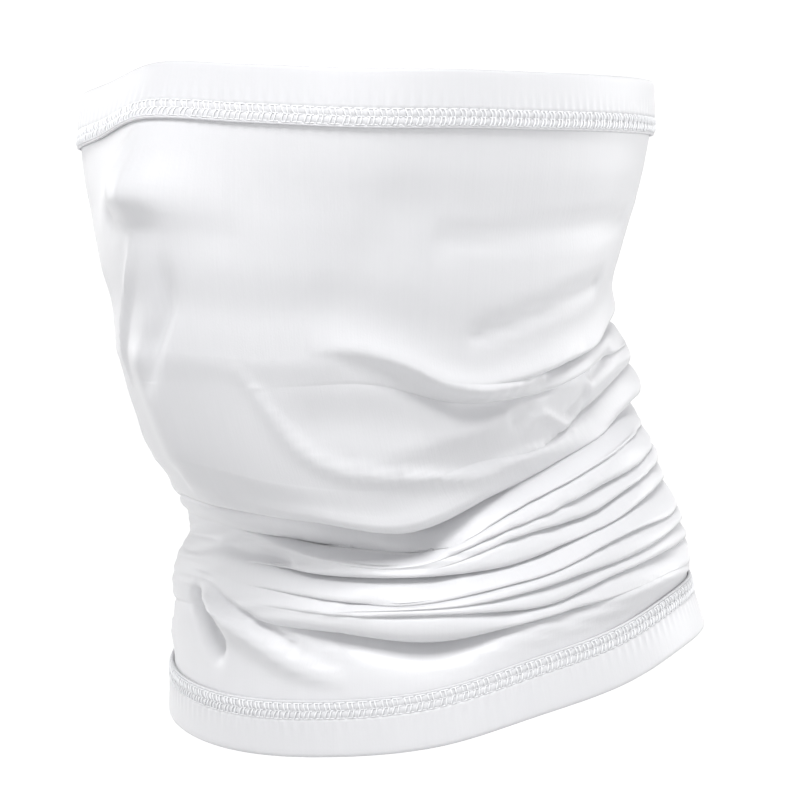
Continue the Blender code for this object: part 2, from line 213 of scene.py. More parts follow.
FOLD_DEPTHS = {
    # shares of FOLD_DEPTH, or of GATHER_DEPTH for the gathers, every 22.5 degrees from the nose,
    # then the softness
    "cheek_crease": (0.00, 0.00, 0.00, 0.04, 0.22, 0.80, 1.00, 0.60,
                     0.40, 0.35, 0.35, 0.40, 0.30, 0.10, 0.00, 0.00, 1.0),
    "cheek_hollow": (0.00, 0.00, 0.15, 0.50, 0.50, 0.50, 0.45, 0.35,
                     0.30, 0.30, 0.35, 0.40, 0.35, 0.20, 0.05, 0.00, 2.4),
    "jaw_fold": (0.00, 0.00, 0.02, 0.12, 0.20, 0.45, 0.50, 0.40,
                 0.35, 0.35, 0.35, 0.30, 0.30, 0.15, 0.05, 0.00, 2.4),
    "chin_fold": (0.55, 1.80, 1.95, 1.05, 0.75, 0.80, 0.85, 0.60,
                  0.50, 0.50, 0.55, 0.60, 0.70, 0.70, 0.50, 0.35, 1.1),
    "gather_1": (0.10, 1.50, 1.80, 0.85, 0.65, 0.70, 0.60, 0.50,
                 0.40, 0.40, 0.45, 0.55, 0.55, 0.35, 0.15, 0.00, 0.9),
    "gather_2": (0.00, 0.00, 0.00, 0.35, 0.60, 0.50, 0.55, 0.40,
                 0.35, 0.35, 0.40, 0.35, 0.30, 0.15, 0.05, 0.00, 0.9),
    "gather_3": (0.00, 0.00, 0.00, 0.50, 0.75, 0.70, 0.60, 0.50,
                 0.45, 0.45, 0.50, 0.55, 0.50, 0.25, 0.05, 0.00, 1.0),
    "gather_4": (0.00, 0.90, 1.15, 0.95, 0.65, 0.60, 0.70, 0.55,
                 0.45, 0.45, 0.50, 0.55, 0.60, 0.35, 0.10, 0.00, 1.1),
    "gather_5": (0.00, 0.45, 0.85, 0.60, 0.55, 0.65, 0.60, 0.50,
                 0.50, 0.50, 0.55, 0.60, 0.60, 0.30, 0.05, 0.00, 1.1),
    "gather_5b": (0.00, 0.00, 0.20, 0.55, 0.60, 0.50, 0.50, 0.40,
                  0.30, 0.30, 0.30, 0.30, 0.20, 0.10, 0.00, 0.00, 1.0),
    "gather_6": (0.00, 0.10, 0.50, 0.80, 0.70, 0.50, 0.35, 0.40,
                 0.45, 0.45, 0.50, 0.55, 0.50, 0.30, 0.05, 0.00, 1.1),
    "gather_7": (0.05, 0.95, 1.40, 0.95, 0.10, 0.05, 0.25, 0.40,
                 0.40, 0.40, 0.45, 0.50, 0.50, 0.50, 0.30, 0.05, 1.9),
}
# length of the lip, the shoulder and the swell beside a fold, as shares of FOLD_DEPTH
LIP_SIZE, SHOULDER_SIZE, LIFT_SIZE = 0.20, 0.45, 0.55
# height of the swell, and how far a lip hangs over: a share of its depth, and the most that
# the cloth beside it allows
LIFT, OVERHANG, MOST_OVERHANG = 0.30, 0.20, 0.22
# sideways drift of the gathers in metres, and how much their depth varies
SWAY, UNEVEN = 0.00050, 0.22
# the hollow under the chin: its middle and half its width in degrees, and its extra room
HOLLOW_TURN, HOLLOW_SPREAD, HOLLOW_ROOM = 30.0, 30.0, 0.006
# the most depth for the room beside a line, and the room that a nearly flat line leaves free
STEEPEST_FOLD, IDLE_ROOM, IDLE_DEPTH = 1.22, 0.006, 0.15
# cloth shorter than LONGEST_ROLL becomes a roll, which sags by a share of its depth
LONGEST_ROLL, ROLL_BLEND, SAG, MOST_SAG = 0.013, 0.004, 0.30, 0.6
SHORTEST = 0.0005


def around(values, turns):
    """Values given in even directions, carried smoothly round the tube."""
    values = np.asarray(values, float)
    place = (turns % 360.0) / (360 / DIRECTIONS)
    first = np.floor(place).astype(int)
    s = place - first
    before, low, high, after = (values[(first + k) % DIRECTIONS] for k in (-1, 0, 1, 2))
    return low + s / 2 * ((high - before) + (2 * before - 5 * low + 4 * high - after) * s
                          + (3 * low - before - 3 * high + after) * s ** 2)


def under_chin(turns):
    """1 where the cloth under the chin hangs in one deep hollow instead of a roll."""
    return np.exp(-np.abs((turns - HOLLOW_TURN) / HOLLOW_SPREAD) ** 4)


def tube_lines(turns):
    """Names, levels, drops, depths and softness of all the lines, from top to bottom."""
    plain, full = (HEM_DEPTH - STITCH_BAND) / FULL_HEIGHT, HEM_DEPTH / FULL_HEIGHT
    seat = SEAT_GAP / FULL_HEIGHT
    lines = []
    for name, (level, *row) in LINE_DROPS.items():
        drop = around(row, turns)
        if name.startswith("gather"):
            t, phase = np.radians(turns), 1.9 * len(lines)
            drift = np.sin(5 * t + phase) + 0.7 * np.sin(9 * t - 1.3 * phase)
            drop = drop + SWAY * drift / FULL_HEIGHT
        if name == "top_edge":
            marks = (("top_edge", 0), ("top_lap", plain),
                     ("body_top", plain + seat), ("top_seam", full))
        elif name == "bottom_edge":
            marks = (("bottom_seam", -full), ("body_bottom", -plain - seat),
                     ("bottom_lap", -plain), ("bottom_edge", 0))
        else:
            *shares, softness = FOLD_DEPTHS[name]
            uneven = 1 + UNEVEN * np.sin(7 * np.radians(turns) + 2.3 * len(lines))
            full_depth = GATHER_DEPTH if name.startswith("gather") else FOLD_DEPTH
            depth = np.clip(around(shares, turns), 0, None) * full_depth * uneven
            lines.append((name, level, drop, depth, softness))
            continue
        lines += [(mark, level + d, drop + d, 0 * drop, 1.0) for mark, d in marks]
    names, levels, drops, depths, soft = zip(*lines)
    levels, drops, depths = np.array(levels), np.array(drops) * FULL_HEIGHT, np.array(depths)
    idle = IDLE_ROOM * (1 - np.clip(depths / (IDLE_DEPTH * FOLD_DEPTH), 0, 1))
    gaps = drops[1:] - drops[:-1]
    gaps[names.index("chin_fold")] += HOLLOW_ROOM * under_chin(turns)
    room = np.minimum(gaps[:-1] + idle[:-2], gaps[1:] + idle[2:])
    depths[1:-1] = np.minimum(depths[1:-1], STEEPEST_FOLD * np.maximum(room, 0))
    return list(names), levels, drops, depths, np.array(soft)


names, _, drops, _, _ = tube_lines(some_turns)
print(len(names), "lines; closest pair", round(1000 * np.diff(drops, axis=0).min(), 2), "mm apart")

# %% [markdown]
# ## Soft dents and small creases
# Some shapes do not run round the tube: the hollow under the nose, the slanting pulls at the front
# of the neck, the tucks at the jaw. Each is a short line with a soft bell-shaped section, raised or
# pressed in. The hems are stitched double and stay smooth, so these fade out before them.

# %% Dents and creases
DENTS = {
    # turn_from, drop_from, turn_to, drop_to, spread of DENT_WIDTH, rise of DENT_DEPTH
    "nose_crest": (-2, 0.095, -6, 0.180, 0.30, 0.16),
    "under_nose": (-9, 0.230, 2, 0.236, 0.62, -0.52),
    "under_nose_side": (2, 0.240, 17, 0.252, 0.70, -0.16),
    "mouth_plane": (53, 0.219, 40, 0.343, 1.20, -0.12),
    "chin_column": (-4, 0.440, -2, 0.560, 0.90, 0.38),
    "chin_knob": (-3, 0.604, 4, 0.612, 0.40, 0.35),
    "temple_crease": (63, 0.262, 128, 0.226, 0.36, -0.22),
    "cheekbone_crease": (74, 0.392, 118, 0.318, 0.34, -0.30),
    "jaw_hollow": (31, 0.515, 54, 0.505, 1.00, -0.28),
    "tuck_hollow": (84, 0.518, 90, 0.498, 0.32, -0.25),
    "tuck_hollow_high": (105, 0.512, 113, 0.485, 0.30, -0.30),
    "nape_tuck": (118, 0.455, 128, 0.430, 0.30, -0.30),
    "front_wedge": (-17, 0.782, -8, 0.850, 0.40, -0.85),
    "right_cheek_crease": (-125, 0.330, -80, 0.400, 0.40, -0.30),
    "right_jaw_hollow": (-75, 0.500, -48, 0.530, 0.80, -0.35),
    "back_slant": (170, 0.760, 205, 0.700, 0.50, 0.30),
    "right_slant": (-95, 0.800, -60, 0.860, 0.40, -0.35),
}
PULLS = {
    # rise, width above and width below in millimetres, then the route as turns and drops
    "lip_ridge": (2.6, 1.6, 1.8, (0, -2, -5, -9, -12, -14),
                  (0.255, 0.290, 0.330, 0.380, 0.425, 0.470)),
    "lip_hollow": (-3.0, 3.2, 2.4, (6, 5, 1, -4), (0.285, 0.340, 0.410, 0.480)),
    "cheek_roll": (3.2, 4.5, 2.2, (33, 41, 49, 57, 65, 75, 86, 98, 114),
                   (0.412, 0.414, 0.423, 0.441, 0.463, 0.474, 0.465, 0.447, 0.417)),
    "cheek_shade": (-2.2, 2.2, 5.0, (38, 46, 54, 62, 70, 80, 90),
                    (0.428, 0.438, 0.458, 0.482, 0.496, 0.496, 0.484)),
    "middle_ridge": (1.5, 3.0, 3.0, (38, 51, 66, 86, 110), (0.575, 0.556, 0.535, 0.503, 0.450)),
    "jaw_roll": (2.8, 1.7, 3.0, (17, 21, 25, 30, 38, 50, 62, 78, 95, 112),
                 (0.430, 0.470, 0.530, 0.568, 0.588, 0.594, 0.594, 0.574, 0.552, 0.515)),
    "tuck_ridge": (1.5, 1.7, 1.7, (86, 93, 102, 116), (0.547, 0.510, 0.528, 0.476)),
    "ear_roll": (3.6, 2.0, 5.0, (96, 108, 120, 132, 146, 162),
                 (0.466, 0.442, 0.412, 0.392, 0.380, 0.378)),
    "front_tuck": (-2.0, 1.3, 2.0, (3, 9, 14), (0.710, 0.716, 0.733)),
    "neck_crease": (-2.4, 1.1, 1.3, (-15, -4, 8, 18, 29), (0.752, 0.785, 0.818, 0.848, 0.868)),
    "neck_pull": (3.6, 1.8, 3.4, (-20, -8, 5, 16, 28), (0.758, 0.798, 0.835, 0.867, 0.890)),
    "right_cheek_roll": (2.0, 4.0, 2.6, (-120, -95, -70, -45, -25),
                         (0.420, 0.445, 0.440, 0.420, 0.415)),
    "right_jaw_roll": (2.0, 3.2, 4.0, (-110, -85, -60, -35, -18),
                       (0.500, 0.525, 0.555, 0.560, 0.520)),
    "nape_roll": (1.6, 3.5, 3.0, (150, 175, 200, 225), (0.415, 0.425, 0.430, 0.440)),
    "right_neck_pull": (2.0, 2.0, 3.4, (-90, -70, -50, -32), (0.750, 0.790, 0.835, 0.870)),
}
ROUTE_SAMPLES, HEM_FADE = 48, 0.55


def line_rise(x, y, route_x, route_y, rise, above, below):
    """Rise of a soft ridge or groove along a route; it fades out towards both ends."""
    rows = np.array([route_x, route_y]).T
    run = np.r_[0, np.cumsum(np.linalg.norm(np.diff(rows, axis=0), axis=1))]
    samples = smooth_between(run, rows, np.linspace(0, run[-1], ROUTE_SAMPLES))
    way = np.gradient(samples, axis=0)
    way /= np.linalg.norm(way, axis=1, keepdims=True)
    nearest, side, share = np.full(x.shape, 1e9), np.zeros(x.shape), np.zeros(x.shape)
    for k, ((sx, sy), (wx, wy)) in enumerate(zip(samples, way)):
        away = np.hypot(x - sx, y - sy)
        closer = away < nearest
        nearest = np.where(closer, away, nearest)
        side = np.where(closer, wx * (y - sy) - wy * (x - sx), side)
        share = np.where(closer, k / (ROUTE_SAMPLES - 1), share)
    width = np.where(side > 0, below, above)
    return rise * np.exp(-(nearest / width) ** 2) * np.sin(math.pi * share) ** 0.8


def dent_rise(turns, drops):
    """Rise of the dents and pulls at each turn and drop."""
    rise = np.zeros_like(drops)
    names, _, line_drops, _, _ = tube_lines(turns)
    top_seam, bottom_seam = (line_drops[names.index(seam)] for seam in ("top_seam", "bottom_seam"))
    to_hem = np.minimum(drops - top_seam, bottom_seam - drops)
    free = 1 - np.exp(-(np.clip(to_hem, 0, None) / (HEM_FADE * DENT_WIDTH)) ** 2)
    for turn_a, drop_a, turn_b, drop_b, spread, height in DENTS.values():
        x = np.radians((turns - turn_a + 180) % 360 - 180) * HALF_WIDTH + np.zeros_like(drops)
        y = drops - drop_a * FULL_HEIGHT
        run_x = np.radians(turn_b - turn_a) * HALF_WIDTH
        run_y = (drop_b - drop_a) * FULL_HEIGHT
        along = np.clip((x * run_x + y * run_y) / (run_x ** 2 + run_y ** 2), 0, 1)
        away = np.hypot(x - along * run_x, y - along * run_y) / (spread * DENT_WIDTH)
        rise += height * DENT_DEPTH * np.exp(-away ** 2)
    for height, above, below, route_turns, route_drops in PULLS.values():
        middle = (route_turns[0] + route_turns[-1]) / 2
        x = np.radians((turns - middle + 180) % 360 - 180) * HALF_WIDTH + np.zeros_like(drops)
        route_x = np.radians(np.array(route_turns) - middle) * HALF_WIDTH
        rise += line_rise(x, drops, route_x, np.array(route_drops) * FULL_HEIGHT,
                          height / 1000, above / 1000, below / 1000)
    return rise * free


highest = max(row[0] for row in PULLS.values())
print(len(DENTS), "dents and", len(PULLS), "pulls, up to", highest, "mm high")

# %% [markdown]
# ## One surface for everything
# Body, hems and stitches all lie on the same skin, so one function gives its points. Between two
# fold lines the cloth leaves the upper valley over a round shoulder, swells a little, and turns
# back under itself at the lip of the lower valley. Where two lines lie close together, the cloth
# between them is one round roll instead, except in the hollow under the chin. Fine wrinkles run
# round the gathered part.

# %% The skin of the tube
WRINKLE = 0.00022
GATHERS_FROM, GATHERS_TO, FADE_IN, FADE_OUT = 0.56, 0.86, 0.08, 0.04


def fading(distance, length, size):
    """1 at the fold itself, 0 at the far end of the cloth between two folds."""
    end = np.exp(-length / size)
    return (np.exp(-distance / size) - end) / (1 - end)


def fine_wrinkles(turns, drops, gathered):
    """Thin wrinkles that run round the neck, stronger where the cloth is gathered."""
    t, d = np.radians(turns), drops / FULL_HEIGHT
    sway = 0.010 * np.sin(3 * t + 1.0) + 0.006 * np.sin(7 * t + 0.4)
    wave = (np.sin(2 * math.pi * (d + sway) / 0.021 + 2.0 * np.sin(2 * t + 0.7))
            * (0.55 + 0.45 * np.sin(5 * t + 40 * d))
            + 0.6 * np.sin(2 * math.pi * (d - 1.6 * sway) / 0.013 + 1.7 * np.sin(4 * t))
            * (0.5 + 0.5 * np.sin(9 * t - 30 * d + 2.0)))
    return WRINKLE * gathered * wave


def skin(turns, steps):
    """Rows of points on the outer face; steps holds a line number and a share to the next line."""
    names, levels, drops, depths, soft = tube_lines(turns)
    at = np.array([line for line, share in steps])
    above = np.minimum(at, len(names) - 2)
    s = (at - above + np.array([share for line, share in steps]))[:, None]
    level = levels[above] + s[:, 0] * (levels[above + 1] - levels[above])
    drop = smooth_between(levels, drops, level)
    length = np.maximum(drops[above + 1] - drops[above], SHORTEST)
    high, low = depths[above], depths[above + 1]
    soft_high, soft_low = soft[above][:, None], soft[above + 1][:, None]
    shoulder = fading(s * length, length, SHOULDER_SIZE * FOLD_DEPTH * soft_high)
    lip = fading((1 - s) * length, length, LIP_SIZE * FOLD_DEPTH * soft_low)
    lip_above = fading(s * length, length, LIP_SIZE * FOLD_DEPTH * soft_high)
    near = (1 - s) * length / (LIFT_SIZE * FOLD_DEPTH * np.sqrt(soft_low))
    swell = near * np.exp(1 - near) * s * (2 - s)
    panel = -high * shoulder - low * lip + LIFT * low * swell
    from_high, from_low = (np.sqrt(np.clip(share * (2 - share), 0, 1)) for share in (s, 1 - s))
    rounded = 1 - (at == names.index("chin_fold"))[:, None] * under_chin(turns)
    roll = -high * (1 - s - rounded * (from_high - s)) - low * (s - rounded * (from_low - 1 + s))
    rolled = np.clip((LONGEST_ROLL - length) / ROLL_BLEND, 0, 1)
    out = rolled * roll + (1 - rolled) * panel
    hang_low = np.minimum(OVERHANG * low / soft_low, MOST_OVERHANG * length)
    before = np.vstack([length[:1], drops[1:] - drops[:-1]])[above]
    hang_high = np.minimum(OVERHANG * high / soft_high, MOST_OVERHANG * before)
    drop = drop - hang_low * lip - hang_high * lip_above
    sag = SAG * np.minimum((high + low) / 2, MOST_SAG * length)
    drop = drop + rolled * sag * rounded * 4 * s * (1 - s)
    gathered = (np.clip((level - GATHERS_FROM) / FADE_IN, 0, 1)
                * np.clip((GATHERS_TO - level) / FADE_OUT, 0, 1))
    out = out + dent_rise(turns, drop) + fine_wrinkles(turns, drop, gathered[:, None])
    return section_point(turns, level, out, drop)


def outward(points):
    """Outward unit normals of a grid of points that closes round the tube."""
    down = np.vstack([points[1:2] - points[:1], points[2:] - points[:-2], points[-1:] - points[-2:-1]])
    normal = np.cross(down, np.roll(points, -1, axis=1) - np.roll(points, 1, axis=1))
    return normal / np.linalg.norm(normal, axis=-1, keepdims=True)


# %% [markdown]
# ## The body of the tube
# A flat grid is rolled up: its columns become turns round the head and its rows become levels. The
# two side edges then meet and are merged, so the tube has no seam. Rows are packed closer at the
# fold lines, where the cloth turns fastest. Solidify gives the knit its millimetre of thickness.

# %% Roll up a grid of cloth
BODY_COLUMNS, FRONT_CROWDING = 300, 0.30
BODY_ROWS = {"body_top": 4, "top_seam": 34, "cheek_crease": 9, "cheek_hollow": 18, "jaw_fold": 12,
             "chin_fold": 8, "gather_1": 7, "gather_2": 7, "gather_3": 8, "gather_4": 8, "gather_5": 6,
             "gather_5b": 6, "gather_6": 9, "gather_7": 14, "bottom_seam": 4}


def rolled_cloth(name, points, closed_profile=False):
    """A grid whose columns close round the tube; with closed_profile its rows close as well."""
    rows, columns = points.shape[:2]
    down = rows if closed_profile else rows - 1
    bm = bmesh.new()
    uv = bm.loops.layers.uv.new("cloth")
    bmesh.ops.create_grid(bm, x_segments=columns, y_segments=down, size=0.5, calc_uvs=True)
    for vert in bm.verts:
        column = round((vert.co.x + 0.5) * columns) % columns
        row = round((0.5 - vert.co.y) * down) % rows
        vert.co = points[row, column]
    bmesh.ops.remove_doubles(bm, verts=bm.verts, dist=1e-7)
    bmesh.ops.recalc_face_normals(bm, faces=bm.faces)
    mesh = bpy.data.meshes.new(name)
    bm.to_mesh(mesh)
    bm.free()
    mesh.shade_smooth()
    piece = bpy.data.objects.new(name, mesh)
    bpy.context.scene.collection.objects.link(piece)
    return piece


even = 2 * math.pi * np.arange(BODY_COLUMNS) / BODY_COLUMNS
body_turns = (np.degrees(even - FRONT_CROWDING * np.sin(even)) + 180) % 360 - 180
body_steps = []
for k, name in enumerate(names):
    count = BODY_ROWS.get(name, 0)
    crowded = name not in ("body_top", "bottom_seam")
    for i in range(count):
        share = (1 - math.cos(math.pi * i / count)) / 2 if crowded else i / count
        body_steps.append((k, share))
body_steps.append((names.index("body_bottom"), 0.0))

body = rolled_cloth("body_cloth", skin(body_turns, body_steps))
thick = body.modifiers.new("cloth thickness", "SOLIDIFY")
thick.thickness, thick.offset = CLOTH, -1
both_sides = 2 * len(body.data.polygons)
print("body:", len(body_steps), "rows of", BODY_COLUMNS, "columns,", both_sides, "faces on both sides")

# %% [markdown]
# ## The hems
# The end of the knit is turned in once and stitched down, so a hem is a double band. Here it is a
# closed ring with an L-shaped section: its outer lap covers the raw end of the body. The three
# needle rows pull narrow grooves into it, and every stitch puckers the band a little, so the ring
# needs several columns for each stitch.

# %% Hem rings
STITCH_LENGTH = 0.0037
COLUMNS_PER_STITCH = 6
NEEDLE_ROWS = (0.0009, 0.0033, 0.0057)
GROOVE, GROOVE_WIDTH, PUCKER = 0.00045, 0.00040, 0.00016
BAND_ROWS = 18


def even_turns(edge):
    """Turns of columns that lie evenly along a hem, a whole number of them to each stitch."""
    ring = skin(some_turns[:-1], [(names.index(edge), 0.0)])[0]
    run = np.r_[0, np.cumsum(np.linalg.norm(np.roll(ring, -1, axis=0) - ring, axis=1))]
    stitches = round(run[-1] / STITCH_LENGTH)
    wanted = run[-1] * np.arange(stitches * COLUMNS_PER_STITCH) / (stitches * COLUMNS_PER_STITCH)
    return np.interp(wanted, run, some_turns), stitches


def hem_band(top, turns):
    """Points and normals of the skin at even depths from the edge of a hem inwards."""
    names, levels, drops, _, _ = tube_lines(turns)
    edge = 0 if top else len(names) - 1
    way = 1 if top else -1
    depth = np.linspace(0, HEM_DEPTH, BAND_ROWS + 1)
    level = levels[edge] + way * depth / FULL_HEIGHT
    drop = drops[edge] + way * depth[:, None]
    # the normals are taken on rows that run downwards, so the lower band is turned over and back
    order = slice(None) if top else slice(None, None, -1)
    points = section_point(turns, level[order], dent_rise(turns, drop[order]), drop[order])
    normals = outward(points)
    return points[order], normals[order]


def on_band(points, normals, column, depth, height):
    """Points of the band at a column, a depth from the edge and a height above the skin."""
    columns = points.shape[1]
    c = np.asarray(column) % columns
    c0 = np.floor(c).astype(int) % columns
    c1, cs = (c0 + 1) % columns, (c - np.floor(c))[..., None]
    r = np.clip(np.asarray(depth) / HEM_DEPTH * BAND_ROWS, 0, BAND_ROWS - 0.001)
    r0 = np.floor(r).astype(int)
    rs = (r - r0)[..., None]
    place, normal = ((1 - rs) * ((1 - cs) * a[r0, c0] + cs * a[r0, c1])
                     + rs * ((1 - cs) * a[r0 + 1, c0] + cs * a[r0 + 1, c1]) for a in (points, normals))
    return place + np.asarray(height)[..., None] * normal


def hem_ring(name, top):
    """The ring of a hem, from the raw side of its lap over the turned edge to the inside."""
    turns, stitches = even_turns("top_edge" if top else "bottom_edge")
    points, normals = hem_band(top, turns)
    outer, inner, step = SEAT_GAP + CLOTH, -CLOTH, HEM_DEPTH - STITCH_BAND
    # each row of the ring is a depth from the edge and a height over the skin
    profile = [(HEM_DEPTH, SEAT_GAP), (HEM_DEPTH, outer - 0.0003), (HEM_DEPTH - 0.0002, outer)]
    profile += [(d, outer) for d in np.arange(HEM_DEPTH - 0.0005, step - 0.0005, -0.0004)]
    profile += [(d, outer) for d in np.linspace(step - 0.001, 0.0012, 7)]
    profile += [(0.0005, outer - 0.00015), (0.0001, outer - 0.0006), (0.0, (outer + inner) / 2),
                (0.0001, inner + 0.0006), (0.0005, inner + 0.00015)]
    profile += [(d, inner) for d in np.linspace(0.0012, step, 5)] + [(step, SEAT_GAP)]
    column = np.arange(len(turns))
    pucker = np.cos(2 * math.pi * column / COLUMNS_PER_STITCH)
    rows = []
    for depth, height in profile:
        if height == outer:
            needle = [math.exp(-((HEM_DEPTH - depth - row) / GROOVE_WIDTH) ** 2) for row in NEEDLE_ROWS]
            between = math.exp(-((HEM_DEPTH - depth - STITCH_BAND / 2) / STITCH_BAND) ** 4)
            height = height - GROOVE * sum(needle) * (0.75 + 0.25 * pucker) + PUCKER * between * pucker
        rows.append(on_band(points, normals, column, np.full(len(turns), depth), height + 0 * column))
    ring = rolled_cloth(name, np.array(rows), closed_profile=True)
    print(name + ":", stitches, "stitches round,", len(ring.data.polygons), "faces")
    return ring, points, normals, stitches


top_hem, *top_band = hem_ring("top_hem_band", True)
bottom_hem, *bottom_band = hem_ring("bottom_hem_band", False)

# %% [markdown]
# ## Cover stitch
# The machine sews three needle rows at once and crosses a thin looper thread over them, which gives
# the ladder look of sports seams. One short piece of thread, a five-sided rod, is modelled once. It
# is then laid out hundreds of times along the band, and all the copies are joined into one mesh.
# The rod starts with an open end, which is sunk into the cloth.

# %% Stitch threads
THREAD = 0.00021
ROD_SIDES, ROD_PARTS = 5, 4
rod = bmesh.new()
bmesh.ops.create_circle(rod, cap_ends=True, segments=ROD_SIDES, radius=1.0)
for _ in range(ROD_PARTS):
    rod.faces.ensure_lookup_table()
    end = max(v.co.z for v in rod.verts)
    cap = [f for f in rod.faces if abs(f.calc_center_median().z - end) < 1e-6
           and abs(f.normal.z) > 0.9][:1]
    made = bmesh.ops.extrude_face_region(rod, geom=cap)
    bmesh.ops.delete(rod, geom=cap, context="FACES_ONLY")
    moved = [item for item in made["geom"] if isinstance(item, bmesh.types.BMVert)]
    bmesh.ops.translate(rod, verts=moved, vec=(0, 0, 1 / ROD_PARTS))
bmesh.ops.recalc_face_normals(rod, faces=rod.faces)
# the points and faces are put in a fixed order, so that every run gives the same mesh
ordered = sorted(rod.verts, key=lambda v: (round(v.co.z, 3), round(math.atan2(v.co.y, v.co.x), 3)))
rank = {vert: k for k, vert in enumerate(ordered)}
rod_points = np.array([v.co for v in ordered])
rod_faces = []
for face in rod.faces:
    corners = [rank[v] for v in face.verts]
    first = corners.index(min(corners))
    rod_faces.append(corners[first:] + corners[:first])
rod_faces.sort()
rod.free()
print("one rod of thread:", len(rod_points), "points,", len(rod_faces), "faces")

STRANDS = (
    # from (share of a stitch, needle row), to (share, row), rise over the cloth, thickness
    ((0.10, 0), (0.90, 0), -0.00016, 0.85),
    ((0.12, 1), (0.88, 1), -0.00016, 0.85),
    ((0.10, 2), (0.90, 2), -0.00016, 0.85),
    ((0.10, 0), (0.30, 1), 0.00034, 1.15),
    ((0.52, 0), (0.66, 1), 0.00034, 1.15),
    ((0.34, 1), (0.10, 2), 0.00034, 1.15),
    ((0.70, 1), (0.58, 2), 0.00034, 1.15),
)


def stitch_threads(name, points, normals, stitches):
    """All the threads of one hem as one mesh."""
    places, faces = [], []
    lift = SEAT_GAP + CLOTH
    for count in range(stitches):
        uneven = 0.05 * math.sin(2.4 * count) + 0.04 * math.sin(5.3 * count + 1)
        for (share_a, row_a), (share_b, row_b), rise, thickness in STRANDS:
            size = THREAD * thickness
            t = rod_points[:, 2]
            wobble = uneven if row_a != row_b else 0.0
            along = (count + share_a + (share_b - share_a) * t + wobble) * COLUMNS_PER_STITCH
            depth = HEM_DEPTH - np.interp(row_a + (row_b - row_a) * t, range(3), NEEDLE_ROWS)
            run = np.array([(share_b - share_a) * STITCH_LENGTH, NEEDLE_ROWS[row_a] - NEEDLE_ROWS[row_b]])
            across = np.array([-run[1], run[0]]) / np.linalg.norm(run)
            arch = rise * np.sin(math.pi * t) - 0.5 * size * (np.abs(2 * t - 1) ** 6)
            along = along + rod_points[:, 0] * size * across[0] / STITCH_LENGTH * COLUMNS_PER_STITCH
            depth = depth + rod_points[:, 0] * size * across[1]
            height = lift + 0.2 * size + arch + rod_points[:, 1] * size
            faces += [[len(places) * len(rod_points) + v for v in face] for face in rod_faces]
            places.append(on_band(points, normals, along, depth, height))
    mesh = bpy.data.meshes.new(name)
    mesh.from_pydata(np.concatenate(places), [], faces)
    bm = bmesh.new()
    bm.from_mesh(mesh)
    bmesh.ops.recalc_face_normals(bm, faces=bm.faces)
    bm.to_mesh(mesh)
    bm.free()
    mesh.shade_smooth()
    piece = bpy.data.objects.new(name, mesh)
    bpy.context.scene.collection.objects.link(piece)
    print(name + ":", len(places), "strands,", len(faces), "faces")
    return piece


top_stitches = stitch_threads("top_stitches", *top_band)
bottom_stitches = stitch_threads("bottom_stitches", *bottom_band)

# %% [markdown]
# ## Writing shader maths as sums
# A finish is a small calculation done at every point of the surface. The class below lets a script
# write that calculation with +, - and *, and adds the Math nodes by itself. Any other node comes
# from one method that takes its type, its settings and its inputs.

# %% A socket that can be added and multiplied


class Wire:
    """A value flowing out of a node; arithmetic with it adds Math nodes."""

    def __init__(self, tree, socket):
        self.tree, self.socket = tree, socket

    def node(self, kind, settings=None, inputs=None):
        made = self.tree.nodes.new(kind)
        for key, value in (settings or {}).items():
            setattr(made, key, value)
        for key, value in (inputs or {}).items():
            if isinstance(value, Wire):
                self.tree.links.new(value.socket, made.inputs[key])
            else:
                made.inputs[key].default_value = value
        return made

    def out(self, made, key=0):
        return Wire(self.tree, made.outputs[key])

    def maths(self, operation, a, b):
        return self.out(self.node("ShaderNodeMath", {"operation": operation}, {0: a, 1: b}))

    def __add__(self, other):
        return self.maths("ADD", self, other)

    def __radd__(self, other):
        return self.maths("ADD", other, self)

    def __sub__(self, other):
        return self.maths("SUBTRACT", self, other)

    def __mul__(self, other):
        return self.maths("MULTIPLY", self, other)


# %% [markdown]
# ## The knit finish
# The cloth is a fine polyester and elastane jersey. Close up it has thin upright ribs of loops,
# seen as faint streaks that run along the tube, and a soft satin sheen. The pattern follows the
# cloth, so it reads the map that the grid was made with: across is once round, down is the length.

# %% Knit material
CLOTH_ROUND, CLOTH_LONG, HEM_LONG = 0.50, 0.30, 0.042


